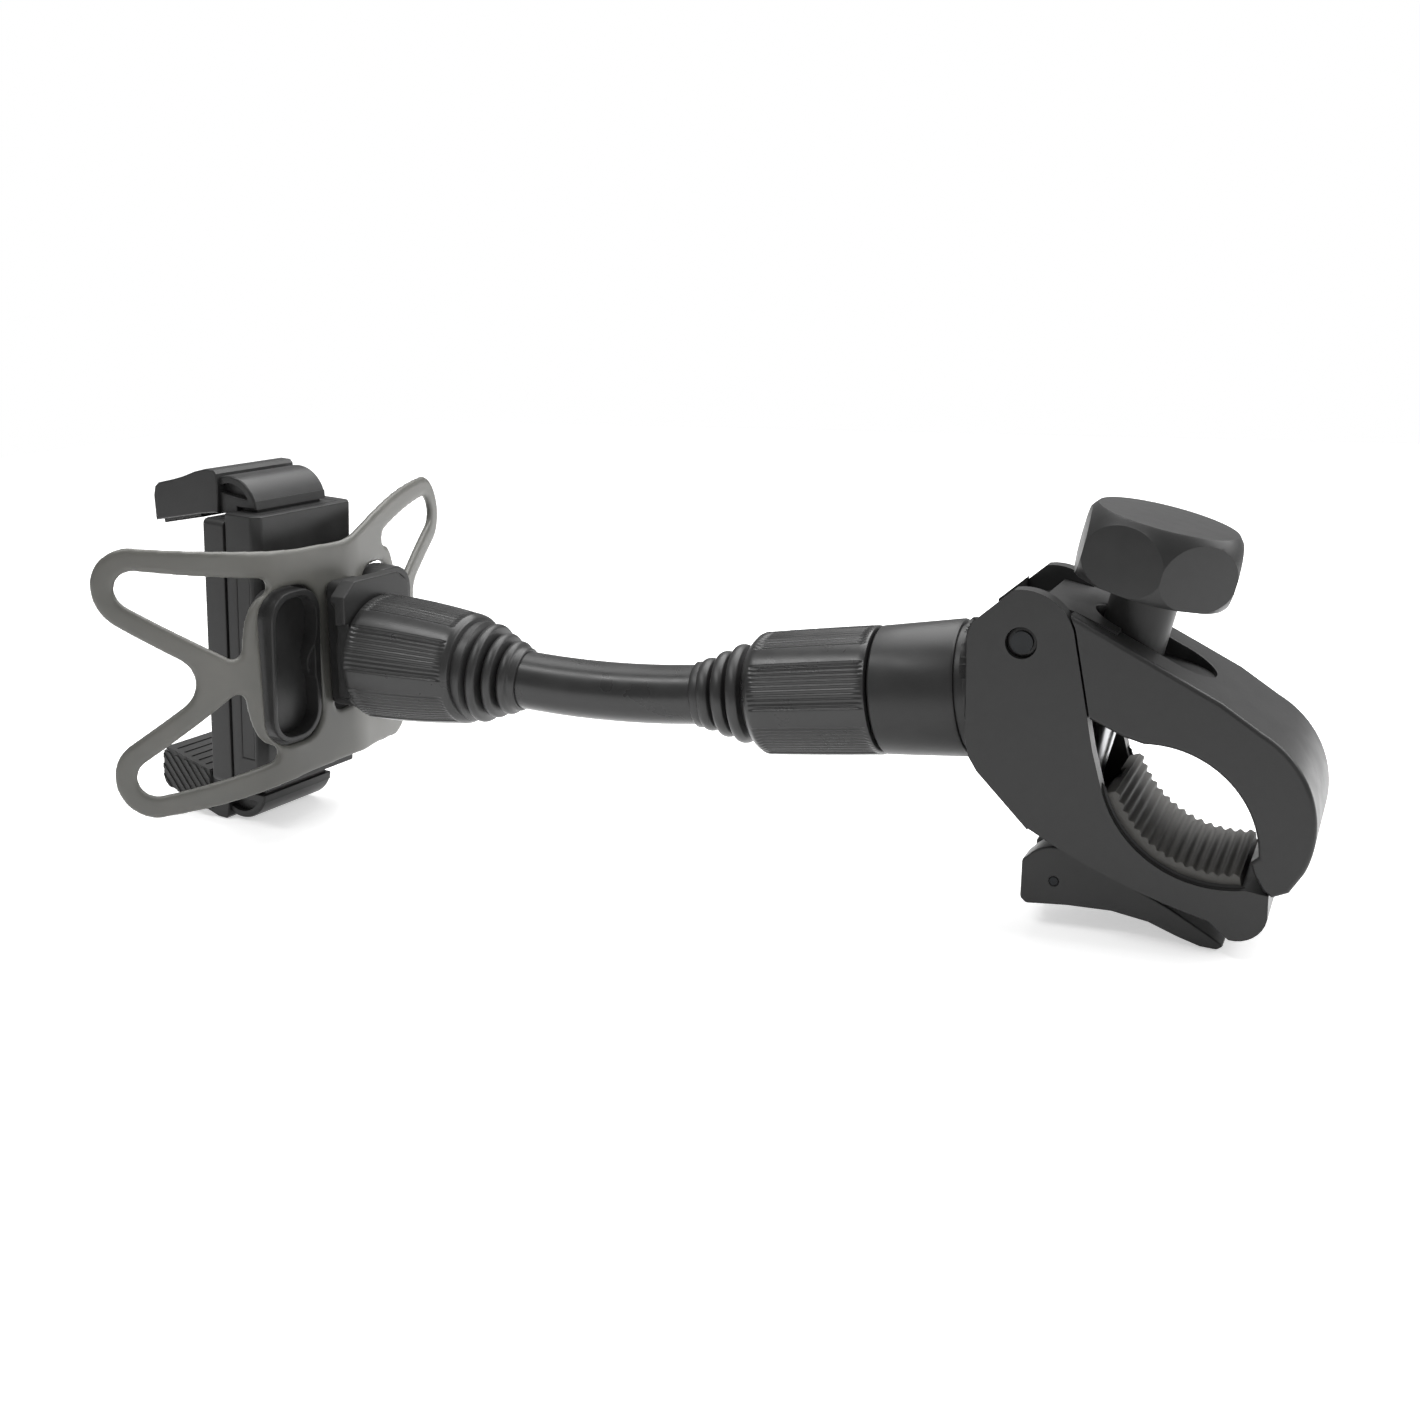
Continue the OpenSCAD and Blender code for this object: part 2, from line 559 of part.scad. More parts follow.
// Jaws: both are one moulding, a lip in front of a round cowl, on a slide
cowl_w = 28;
lip_side = [[-49.3, 38.2], [-49.9, 46.5], [-49.2, 49.5], [-47.6, 50.9], [-41, 52.7], [-36.7, 54.1],
    [-31.3, 56.3], [-26.5, 57.7], [-22.8, 57.7], [-21.7, 56.6], [-21.3, 52.8], [-19.1, 50.3],
    [-13, 49.6], [-6.6, 49.3], [-6.4, 46.6], [-14.2, 46.6], [-14.2, 43.9], [-23.4, 43.9], [-28.9, 42.9]];
module jaw_body() {
    slab(lip_w) polygon(lip_side);
    intersection() {
        translate([-17.2, 0, 45.2]) rotate([90, 0, 0]) cylinder(r = 11.2, h = cowl_w, center = true);
        translate([-30, -30, 46.6]) cube([40, 60, 20]);
    }
    translate([-18.4, -slide_w / 2, 36.5]) cube([11, slide_w, 11]);
}
// Rubber's bed on the underside of a lip, and the rubber in it
module pad_bed(x, w, t) {
    translate([-38.6, 0, 40.6]) rotate([0, -13.2, 0]) translate([0, 0, 0.6]) cube([x, w, t], center = true);
}
module top_jaw() color("#3d3d3d") on_shell() difference() {
    union() {
        jaw_body();
        translate([-18.4, -slide_w / 2, 0]) cube([11, slide_w, 40]);
    }
    pad_bed(17.4, 33.4, 4);
    for (s = [-1, 1]) translate([-12.9, s * 9.5, -1]) cylinder(d = 6.6, h = 42);
}
module top_jaw_pad() color("#333333") on_shell() difference() {
    pad_bed(17, 33, 3.6);
    translate([-38.6, 0, 40.6]) rotate([0, -13.2, 0]) for (i = [-2:2]) translate([i * 3.2, 0, -1.2])
        rotate([90, 0, 0]) cylinder(d = 1.7, h = 40, center = true);
}
module bottom_jaw() color("#3d3d3d") on_shell() difference() {
    mirror([0, 0, 1]) translate([0, 0, bottom_open]) jaw_body();
    mirror([0, 0, 1]) translate([0, 0, bottom_open]) pad_bed(17.4, 33.4, 4);
    for (s = [-1, 1]) translate([-12.9, s * 9.5, -44.8]) cylinder(d = 3 + 2 * fit, h = 20);
}
// The bottom rubber wraps round the ends of its lip, with slanting ribs
module bottom_jaw_pad() color("#333333") on_shell() mirror([0, 0, 1]) translate([0, 0, bottom_open]) difference() {
    union() {
        pad_bed(17, 33, 3.6);
        for (s = [-1, 1]) slab(1.2, s * (lip_w / 2 + 0.65)) polygon(concat([[-28.5, 41.6]],
            [for (i = [0:5]) lip_side[i] + [i < 2 ? -0.4 : 0, 0]], [[-31.5, 55.8], [-28.5, 55]]));
        translate([-38.6, 0, 40.6]) rotate([0, -13.2, 0]) translate([-0.4, 0, -0.9])
            cube([20, lip_w + 1.9, 1.6], center = true);
    }
    for (i = [-4:4], s = [-1, 1]) translate([-38.6 + i * 3.4, s * (lip_w / 2 + 1.3), 47.2])
        rotate([0, 40, 0]) cube([1.5, 0.9, 40], center = true);
    translate([-38.6, 0, 40.6]) rotate([0, -13.2, 0]) for (i = [-2:2]) translate([i * 3.3, 0, -1.8])
        cube([1.6, 34, 0.9], center = true);
}
module guide_rods() color("#a8a9ab") on_shell() for (s = [-1, 1])
    translate([-12.9, s * 9.5, -44.6]) cylinder(d = 3, h = 84.8);
module spring_coil(h, turns) {
    difference() {
        cylinder(d = 6, h = h);
        translate([0, 0, -1]) cylinder(d = 3.4, h = h + 2);
        for (i = [0:turns - 1]) translate([0, 0, (i + 0.5) * h / turns]) difference() {
            cylinder(d = 8, h = h / turns * 0.4, center = true);
            cylinder(d = 4.4, h = h, center = true);
        }
    }
}
module jaw_springs() color("#a8a9ab") on_shell() for (s = [-1, 1])
    translate([-12.9, s * 9.5, -39.8]) spring_coil(39.6, 10);

clamp_body();
pivot_pin();
lower_pad();
upper_jaw();
clamp_rod();
cam_pin();
cam_lever();
thrust_washer();
knob();
knob_insert();
clamp_seat_ring();
clamp_collar();
clamp_ball();
clamp_bellows();
arm();
holder_ball();
holder_bellows();
holder_seat_ring();
holder_collar();
mount_bracket();
bracket_screws();
silicone_web();
holder_back();
holder_front();
front_screws();
bottom_jaw();
bottom_jaw_pad();
guide_rods();
jaw_springs();
top_jaw();
top_jaw_pad();
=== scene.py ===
# %% [markdown]
# # A golf cart device mount
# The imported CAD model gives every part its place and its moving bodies. This script dresses it:
# it gives each moulding its rounded edges, its ribs and its finish, and it bends the silicone web.
# All sizes are in millimetres until a piece is placed, because that is how the real one is drawn.

# %% Load the frame
import math

import bmesh
import bpy
from mathutils import Matrix, Vector


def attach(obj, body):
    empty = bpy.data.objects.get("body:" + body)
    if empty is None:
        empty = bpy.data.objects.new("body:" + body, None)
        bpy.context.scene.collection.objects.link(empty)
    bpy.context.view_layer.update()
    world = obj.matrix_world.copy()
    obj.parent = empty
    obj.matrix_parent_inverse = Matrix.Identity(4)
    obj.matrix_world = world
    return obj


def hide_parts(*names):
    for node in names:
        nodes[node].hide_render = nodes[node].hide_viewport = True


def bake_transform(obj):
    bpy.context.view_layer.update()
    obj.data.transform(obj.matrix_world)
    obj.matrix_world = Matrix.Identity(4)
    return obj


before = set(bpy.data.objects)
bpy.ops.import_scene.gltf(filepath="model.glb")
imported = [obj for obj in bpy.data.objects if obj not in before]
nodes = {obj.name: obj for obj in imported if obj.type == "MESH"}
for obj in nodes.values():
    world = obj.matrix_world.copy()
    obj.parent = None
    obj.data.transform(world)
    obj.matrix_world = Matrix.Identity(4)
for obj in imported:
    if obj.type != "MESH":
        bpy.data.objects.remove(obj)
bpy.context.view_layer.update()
print("CAD nodes:", len(nodes))

# %% [markdown]
# ## Frames
# A part is easiest to model where its own axis is upright. Each frame below is a matrix that
# carries such an upright drawing to its place, and every one repeats a line of the CAD source.

# %% Frames of the clamp, the sockets, the arm and the holder
MM = 0.001
PIVOT = (-45.0, 40.5)
LEVER_PIN = (-34.5, -27.5)
ROD_LEAN, TUBE_PITCH, HOLDER_YAW = 12.5, 7.5, 6.0
BALL_A = Vector((-117, 0, 14.4))
HOLDER_AT = Vector((-286, -0.5, 13.2))
BALL_B_REACH, ARM_BEND, ARM_ROLL = 57.0, 11.0, -76.0


def turn(axis, degrees):
    return Matrix.Rotation(math.radians(degrees), 4, axis)


def move(x, y, z):
    return Matrix.Translation((x, y, z))


CLAMP = move(PIVOT[0], 0, PIVOT[1])
ROD = move(LEVER_PIN[0], 0, LEVER_PIN[1]) @ turn("Y", ROD_LEAN)
SOCKET_A = Matrix.Translation(BALL_A) @ turn("Y", -90 - TUBE_PITCH)
HOLDER = Matrix.Translation(HOLDER_AT) @ turn("Z", -HOLDER_YAW)
SHELL = HOLDER @ move(-2.4, 0, 0) @ turn("Y", 3)
SOCKET_B = HOLDER @ move(BALL_B_REACH, 0, 0) @ turn("Y", 90)
BALL_B = SOCKET_B.translation
run = BALL_B - BALL_A
ARM = (Matrix.Translation(BALL_A) @ turn("Z", math.degrees(math.atan2(run.y, run.x)))
       @ turn("Y", -math.degrees(math.asin(run.z / run.length))) @ turn("X", ARM_ROLL))
ARM_END_A = ARM @ turn("Z", ARM_BEND / 2) @ turn("Y", 90)
ARM_END_B = ARM @ move(run.length, 0, 0) @ turn("Z", -ARM_BEND / 2) @ turn("Y", -90)
print("ball to ball: %.1f mm" % run.length)

# %% [markdown]
# ## Helpers
# Each piece is a bmesh that is drawn in millimetres, carried to its place, and given to the body
# that moves it. Edges that turn sharply stay crisp, and the rest shade smoothly.

# %% Make a finished object from a bmesh


def piece(name, mesh, place, body, *cad_nodes, crisp=32):
    """Places a drawn bmesh, makes it an object that rides on body and stands for cad_nodes."""
    mesh.transform(Matrix.Scale(MM, 4) @ place)
    for face in mesh.faces:
        face.smooth = True
    for edge in mesh.edges:
        if len(edge.link_faces) == 2:
            edge.smooth = edge.calc_face_angle(0) < math.radians(crisp)
    data = bpy.data.meshes.new(name)
    mesh.to_mesh(data)
    mesh.free()
    made = bpy.data.objects.new(name, data)
    bpy.context.scene.collection.objects.link(made)
    if body:
        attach(made, body)
    if cad_nodes:
        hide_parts(*cad_nodes)
    print("made", name, len(data.polygons), "faces")
    return made


def cut(mesh, *tools, operation="DIFFERENCE"):
    """A boolean between drawn bmeshes, by Blender's exact solver. The tools are used up."""
    def temporary(source):
        data = bpy.data.meshes.new("tool")
        source.to_mesh(data)
        source.free()
        made = bpy.data.objects.new("tool", data)
        bpy.context.scene.collection.objects.link(made)
        return made
    base = temporary(mesh)
    for tool in tools:
        other = temporary(tool)
        step = base.modifiers.new("cut", "BOOLEAN")
        step.object, step.operation, step.solver = other, operation, "EXACT"
    graph = bpy.context.evaluated_depsgraph_get()
    result = bmesh.new()
    result.from_mesh(base.evaluated_get(graph).to_mesh())
    for step in list(base.modifiers):
        bpy.data.objects.remove(step.object)
    bpy.data.objects.remove(base)
    return result


# %% [markdown]
# A lathe turns a profile, and a slab is an outline drawn from the side and drawn out in width.
# Nearly every moulding here is one of the two, with its rims rounded by a bevel.

# %% Draw with a lathe and with slabs


def lathe(profile, steps=96):
    """Turns a profile of (radius, height) points round Z. One that ends on the axis closes."""
    mesh = bmesh.new()
    corners = [mesh.verts.new((r, 0, z)) for r, z in profile]
    edges = [mesh.edges.new(pair) for pair in zip(corners, corners[1:])]
    bmesh.ops.spin(mesh, geom=corners + edges, cent=(0, 0, 0), axis=(0, 0, 1),
                   angle=2 * math.pi, steps=steps, use_merge=True)
    bmesh.ops.remove_doubles(mesh, verts=mesh.verts, dist=1e-4)
    bmesh.ops.recalc_face_normals(mesh, faces=mesh.faces)
    return mesh


def sharp_edges(mesh, angle):
    return [e for e in mesh.edges if len(e.link_faces) == 2
            and e.calc_face_angle(0) > math.radians(angle)]


def rounded(mesh, radius, angle=40, segments=3):
    """Rounds every edge that turns by more than angle."""
    bmesh.ops.bevel(mesh, geom=sharp_edges(mesh, angle), offset=radius, offset_type="OFFSET",
                    affect="EDGES", segments=segments, profile=0.5, material=-1,
                    clamp_overlap=True)
    return mesh


def slab(outline, width, at=0.0, radius=0.0, segments=3):
    """An X-Z outline drawn out along Y. Both rims are rounded by radius."""
    mesh = bmesh.new()
    corners = [mesh.verts.new((x, at - width / 2, z)) for x, z in outline]
    side = mesh.faces.new(corners)
    out = bmesh.ops.extrude_face_region(mesh, geom=[side])
    moved = [v for v in out["geom"] if isinstance(v, bmesh.types.BMVert)]
    bmesh.ops.translate(mesh, verts=moved, vec=(0, width, 0))
    bmesh.ops.recalc_face_normals(mesh, faces=mesh.faces)
    if radius:
        rims = [e for e in mesh.edges if abs(e.verts[0].co.y - e.verts[1].co.y) < 1e-6]
        bmesh.ops.bevel(mesh, geom=rims, offset=radius, offset_type="OFFSET", affect="EDGES",
                        segments=segments, profile=0.5, material=-1, clamp_overlap=False)
    return mesh


def arc(centre, radius, start, end, n=12):
    """Points on an arc from start to end, in degrees."""
    steps = [math.radians(start + (end - start) * i / n) for i in range(n + 1)]
    return [(centre[0] + radius * math.cos(a), centre[1] + radius * math.sin(a)) for a in steps]


def block(x, y, z, place=Matrix.Identity(4)):
    """A block between two X, two Y and two Z values."""
    middle = [(a + b) / 2 for a, b in (x, y, z)]
    sizes = [b - a for a, b in (x, y, z)]
    mesh = bmesh.new()
    bmesh.ops.create_cube(mesh, size=1, matrix=place @ move(*middle)
                          @ Matrix.Diagonal(sizes + [1]))
    return mesh


def bar(radius, length, place=Matrix.Identity(4), steps=64):
    mesh = bmesh.new()
    bmesh.ops.create_cone(mesh, cap_ends=True, segments=steps, radius1=radius, radius2=radius,
                          depth=length, matrix=place)
    return mesh


def plate(outline, x0, x1):
    """A Y-Z outline drawn out from x0 to x1."""
    mesh = slab(outline, x1 - x0, at=-(x0 + x1) / 2)
    mesh.transform(turn("Z", 90))
    return mesh


def rounded_box(cx, half_w, half_h, r):
    """Corners of an upright rounded rectangle round (cx, 0)."""
    points = []
    for sx, sz, a in ((1, 1, 0), (-1, 1, 90), (-1, -1, 180), (1, -1, 270)):
        points += arc((cx + sx * (half_w - r), sz * (half_h - r)), r, a, a + 90, 8)
    return points


# %% [markdown]
# ## Materials
# The mount is black glass-filled nylon, moulded in spark-eroded tools. The eye reads that as a
# dark, slightly cloudy surface with a fine grain and a broad soft sheen. The boots are soft
# rubber, the web is grey silicone, and the works are zinc, brass and plated steel. One function
# makes them all: a noise moves the colour and the gloss together, and a finer one is the grain.

# %% Small helpers for colours and nodes


def srgb(hex_code):
    """A hex sRGB colour as the linear colour that Blender's sockets take."""
    parts = [int(hex_code[i:i + 2], 16) / 255 for i in (1, 3, 5)]
    return [p / 12.92 if p <= 0.04045 else ((p + 0.055) / 1.055) ** 2.4 for p in parts] + [1.0]


def add(tree, kind, links=(), **settings):
    """Adds a node. Settings name its inputs or its properties, links are (socket, input)."""
    node = tree.nodes.new("ShaderNode" + kind)
    for key, value in settings.items():
        label = key.replace("_", " ")
        if label in node.inputs:
            node.inputs[label].default_value = value
        else:
            setattr(node, key, value)
    for source, name in links:
        tree.links.new(source, node.inputs[name])
    return node


def moulded(name, low, high, roughness, grain_mm, grain_depth_mm, cloud_mm=9.0,
            roughness_swing=0.08, metallic=0.0, specular=0.5):
    """A moulded or cast finish: a cloudy colour, an uneven gloss and a grain in relief."""
    material = bpy.data.materials.new(name)
    material.use_nodes = True
    tree = material.node_tree
    shader = tree.nodes["Principled BSDF"]
    shader.inputs["Metallic"].default_value = metallic
    shader.inputs["Specular IOR Level"].default_value = specular
    where = add(tree, "TexCoord").outputs["Object"]
    cloud = add(tree, "TexNoise", [(where, "Vector")], Scale=1000 / cloud_mm, Detail=3.0)
    colour = add(tree, "ValToRGB", [(cloud.outputs["Fac"], "Fac")])
    colour.color_ramp.elements[0].position, colour.color_ramp.elements[1].position = 0.3, 0.7
    colour.color_ramp.elements[0].color = srgb(low)
    colour.color_ramp.elements[1].color = srgb(high)
    tree.links.new(colour.outputs["Color"], shader.inputs["Base Color"])
    gloss = add(tree, "MapRange", [(cloud.outputs["Fac"], "Value")])
    gloss.inputs["From Min"].default_value, gloss.inputs["From Max"].default_value = 0.3, 0.7
    gloss.inputs["To Min"].default_value = roughness - roughness_swing / 2
    gloss.inputs["To Max"].default_value = roughness + roughness_swing / 2
    tree.links.new(gloss.outputs["Result"], shader.inputs["Roughness"])
    grain = add(tree, "TexNoise", [(where, "Vector")], Scale=1000 / grain_mm, Detail=2.0)
    relief = add(tree, "Bump", [(grain.outputs["Fac"], "Height")], Strength=0.5,
                 Distance=grain_depth_mm * MM)
    tree.links.new(relief.outputs["Normal"], shader.inputs["Normal"])
    return material


# %% [markdown]
# The nylon's grain is about 0.1 mm wide, drawn 0.5 mm wide so that it shows. Spark erosion leaves
# it matt, so its specular level lies below the usual 0.5. The silicone is smoother and lets a
# little light in, which makes its thin rims paler. Zinc, brass and steel are metal.

# %% The finishes
nylon = moulded("glass_filled_nylon", "#262626", "#2b2b2b", 0.38, 0.5, 0.02, specular=0.3)
polished_nylon = moulded("polished_nylon", "#242424", "#292929", 0.3, 0.8, 0.006, specular=0.42)
boot_rubber = moulded("boot_rubber", "#1d1d1d", "#232323", 0.42, 0.6, 0.01)
pad_rubber = moulded("pad_rubber", "#434240", "#4d4c49", 0.62, 0.4, 0.02)
dark_pad_rubber = moulded("dark_pad_rubber", "#272727", "#2f2f2e", 0.62, 0.4, 0.02)
silicone = moulded("grey_silicone", "#545450", "#5c5b57", 0.4, 0.7, 0.008, cloud_mm=14.0)
cloudy = silicone.node_tree.nodes["Principled BSDF"]
cloudy.inputs["Subsurface Weight"].default_value = 0.25
cloudy.inputs["Subsurface Radius"].default_value = (1.0, 1.0, 0.9)
cloudy.inputs["Subsurface Scale"].default_value = 3 * MM
plated_steel = moulded("zinc_plated_steel", "#b4b5b7", "#c4c5c6", 0.3, 0.3, 0.004, metallic=1.0)
black_steel = moulded("blackened_steel", "#262728", "#303132", 0.42, 0.3, 0.004, metallic=1.0)
cast_zinc = moulded("die_cast_zinc", "#a2a3a5", "#b2b3b4", 0.42, 0.5, 0.01, metallic=1.0)
turned_brass = moulded("turned_brass", "#b39248", "#c4a45a", 0.32, 0.3, 0.004, metallic=1.0)
FINISH = {
    "lower_pad": pad_rubber, "bottom_jaw_pad": dark_pad_rubber, "top_jaw_pad": dark_pad_rubber,
    "silicone_web": silicone, "clamp_bellows": boot_rubber, "holder_bellows": boot_rubber,
    "clamp_rod": plated_steel, "thrust_washer": plated_steel, "bracket_screws": plated_steel,
    "front_screws": plated_steel, "guide_rods": plated_steel, "jaw_springs": plated_steel,
    "pivot_pin": black_steel, "cam_pin": black_steel, "knob_insert": turned_brass,
    "clamp_seat_ring": cast_zinc, "holder_seat_ring": cast_zinc, "clamp_ball": cast_zinc,
    "holder_ball": cast_zinc, "arm": polished_nylon,
}
for name, node in nodes.items():
    node.data.materials.clear()
    node.data.materials.append(FINISH.get(name, nylon))
print("finishes:", len(bpy.data.materials))


def finish(made, material):
    """Gives a piece its material."""
    made.data.materials.clear()
    made.data.materials.append(material)
    return made


# %% [markdown]
# ## The big mouldings
# A tool maker rounds every rim of a moulding, and the rims are what catch the light. The CAD solids
# have sharp rims, so each is copied, its loose triangles are joined to whole faces, and the edges
# that stand out are bevelled. Edges that turn inwards stay as they are. A bevelled plate would
# shade as if it were swollen, so normals weighted by area keep the wide faces flat.

# %% Round the rims of a CAD solid


def joined(node, frame_of=Matrix.Identity(4)):
    """A copy of a CAD node in millimetres, in a frame, its triangles joined to whole faces."""
    mesh = bmesh.new()
    mesh.from_mesh(nodes[node].data)
    mesh.transform(frame_of.inverted() @ Matrix.Scale(1 / MM, 4))
    bmesh.ops.remove_doubles(mesh, verts=mesh.verts, dist=0.004)
    bmesh.ops.dissolve_limit(mesh, angle_limit=math.radians(0.6), verts=mesh.verts,
                             edges=mesh.edges, delimit={"NORMAL"})
    return mesh


def moulding(name, mesh, radius, body, *cad_nodes, place=Matrix.Identity(4), chosen=None):
    """Bevels the outer edges, or the chosen ones, and makes the piece in nylon."""
    rims = [e for e in sharp_edges(mesh, 33) if e.is_convex and e.calc_length() > 0.02
            and (chosen is None or chosen(sum((v.co for v in e.verts), Vector()) / 2))]
    if radius:
        bmesh.ops.bevel(mesh, geom=rims, offset=radius, offset_type="OFFSET", affect="EDGES",
                        segments=2, profile=0.5, material=-1, clamp_overlap=False)
    made = finish(piece(name, mesh, place, body, *cad_nodes, crisp=30), nylon)
    even = made.modifiers.new("flat faces shade flat", "WEIGHTED_NORMAL")
    even.weight, even.keep_sharp = 90, True
    return made


# %% [markdown]
# ## The clamp's body
# The two cheeks, the lower jaw and the socket tube are one moulding. The real one has a dark ring
# where the tube leaves the cheeks, which is a shallow groove. The CAD tube is a many-sided prism,
# so its skin is cut away and a turned sleeve, with the groove in it, takes its place.

# %% Clamp body and cam lever
TUBE_BACK, TUBE_FRONT, TUBE_BORE = -57.0, -29.2, 15.5
body_mesh = joined("clamp_body", SOCKET_A)
skin = lathe([(15.6, TUBE_BACK), (23, TUBE_BACK), (23, -28), (15.6, -28), (15.6, TUBE_BACK)], 128)
body_mesh = cut(body_mesh, skin)
body_mesh.transform(SOCKET_A)
moulding("body_moulding", body_mesh, 0.9, "clamp_body", "clamp_body")
sleeve = [(TUBE_BORE, TUBE_FRONT), (18.0, TUBE_FRONT), (18.6, -29.8), (19.55, -53.2),
          (19.1, -54.0), (18.3, -54.2), (18.3, TUBE_BACK), (TUBE_BORE, TUBE_BACK),
          (TUBE_BORE, TUBE_FRONT)]
finish(piece("tube_sleeve", lathe(sleeve, 160), SOCKET_A, "clamp_body"), nylon)
moulding("lever_moulding", joined("cam_lever"), 0.7, "cam_lever", "cam_lever")

# %% [markdown]
# ## The upper jaw
# From the side it is a hook. It closes flush with the cheeks, with only a dark line between them,
# so a slab as wide as the cheeks is drawn, and the room that the cheeks need is cut from its sides.
# A long slot in its crown lets the knob's stem through, over a narrower one for the rod.

# %% Upper jaw
CLAMP_WIDTH, INNER_HALF, JAW_R = 44.0, 16.6, 28.2
UPPER_CENTRE, LOWER_CENTRE = (35.83, -52.24), (54.17, -28.76)
WASHER_AT, SLOT_BACK, SLOT_FRONT, SLOT_RADIUS = 64.5, -1.4, 13.4, 10.2
hook = ([(12.5, 8.6), (20, 4.8), (40, -5), (52, -11)] + arc((49, -43), 28.6, 62, -22, 24)
        + [(72.2, -59.4), (68.2, -61.3), (65.8, -59.8), (63.2, -55.5), (62.2, -52.4)]
        + arc(UPPER_CENTRE, JAW_R, 3, 95, 28) + [(28, -22.8), (18, -18.5), (9, -11.5)])
cheek_room = arc((0, 0), 14.9, 100, 14, 12) + [(14.3, 4.0), (20.9, -27.5), (20.9, -40),
                                               (-20, -40), (-20, 14)]
heel = [(0, 7.2), (3, 10.6), (12.5, 8.6), (24, 3.8), (20, -19), (9, -11.5), (0, -7.2)]
rod_place = CLAMP.inverted() @ ROD
jaw = slab(hook, CLAMP_WIDTH, radius=1.3, segments=4)
jaw = cut(jaw, slab(cheek_room, 8, INNER_HALF + 4), slab(cheek_room, 8, -INNER_HALF - 4))
jaw = cut(jaw, slab(heel, 2 * INNER_HALF - 0.02), bar(7.2, 2 * INNER_HALF, turn("X", 90)),
          operation="UNION")
slot_tools = [bar(SLOT_RADIUS, 40, rod_place @ move(x, 0, WASHER_AT + 20), 96)
              for x in (SLOT_BACK, SLOT_FRONT)]
slot_tools.append(block((SLOT_BACK, SLOT_FRONT), (-10.19, 10.19),
                        (WASHER_AT + 0.01, WASHER_AT + 39), rod_place))
slot_tools.append(block((-8.5, 8.5), (-4.75, 4.75), (WASHER_AT - 35, WASHER_AT + 35), rod_place))
jaw = cut(jaw, bar(3.1, 50, turn("X", 90)), *slot_tools)
bmesh.ops.dissolve_limit(jaw, angle_limit=math.radians(0.3), verts=jaw.verts, edges=jaw.edges)


def slot_rim(point):
    """True at the rim of the knob's slot."""
    seen = rod_place.inverted() @ point
    return abs(seen.y) < 10.4 and -12 < seen.x < 24 and seen.z > WASHER_AT + 1 and point.x > 13


moulding("jaw_moulding", jaw, 0.7, "upper_jaw", "upper_jaw", place=CLAMP, chosen=slot_rim)

# %% [markdown]
# ## The rubber in the lower jaw
# Soft ribs run along the bar, 2.7 mm apart and 0.8 mm from crest to valley. The pad's section is
# one outline: a wave on the inside and a plain arc on the outside.

# %% Lower pad
PAD_FROM, PAD_TO, PAD_RIBS, SEAT_R, PAD_WIDTH = 199, 281, 15, 32.15, 38.4
RIB_SWING, POINTS_A_RIB = 0.42, 12
wave = []
for i in range(PAD_RIBS * POINTS_A_RIB + 1):
    ribs = i / POINTS_A_RIB
    angle = math.radians(PAD_FROM + (PAD_TO - PAD_FROM) * ribs / PAD_RIBS)
    r = JAW_R + 0.15 + RIB_SWING * (1 + math.cos(2 * math.pi * ribs))
    wave.append((r * math.cos(angle), r * math.sin(angle)))
pad = slab(wave + arc((0, 0), SEAT_R, PAD_TO, PAD_FROM, 40), PAD_WIDTH, radius=0.25, segments=2)
pad.transform(move(LOWER_CENTRE[0], 0, LOWER_CENTRE[1]))
pad = cut(pad, block((-8, 8), (-4.5, 4.5), (21, 51), rod_place))
finish(piece("pad_rubber_ribs", pad, CLAMP, "clamp_body", "lower_pad", crisp=35), pad_rubber)

# %% [markdown]
# ## The bracket
# Its two bosses are hollow, with thin walls that hold the web's eyelets, and the wall next to the
# socket bulges in. The CAD solid has them solid and taller, so they are cut down and hollowed, and
# the tab over the socket gets its lower top with sloping corners.

# %% Bracket
BOSS_AT, BOSS_TOP, POCKET_FLOOR = 22.8, 15.6, 10.4
POCKET_HALF_W, POCKET_HALF_H, POCKET_ROUND = 9.2, 22.6, 7.4


def pocket(side):
    """The hollow of one boss. The wall next to the socket bulges in by 2.4 mm."""
    points = rounded_box(0, POCKET_HALF_W, POCKET_HALF_H, POCKET_ROUND)
    points += [(POCKET_HALF_W - 1.2 * (1 + math.cos(math.radians(18 * z))), z + 1)
               for z in range(-10, 11, 2)]
    return plate([(side * BOSS_AT - side * y, z) for y, z in points], POCKET_FLOOR, 25)


bracket = joined("mount_bracket", SHELL)
for side in (-1, 1):
    above_boss = block((BOSS_TOP, 21), (side * 23 - 12, side * 23 + 12), (-30, 30))
    bracket = cut(bracket, above_boss, pocket(side))
bracket.transform(HOLDER.inverted() @ SHELL)
above_tab = [(-17, 21.5), (-16, 21.5), (-10.5, 26), (10.5, 26), (16, 21.5), (17, 21.5), (17, 32),
             (-17, 32)]
bracket = cut(bracket, plate(above_tab, 21.5, 28.5))
moulding("bracket_moulding", bracket, 0.6, "holder", "mount_bracket", place=HOLDER)

# %% [markdown]
# ## The phone holder
# The back shell and the face plate are plain boxes with a slide between them. At the top they
# close round the slide, so that one doesn't look down into the works, and the grooves in the
# shell's sides are only a hint.

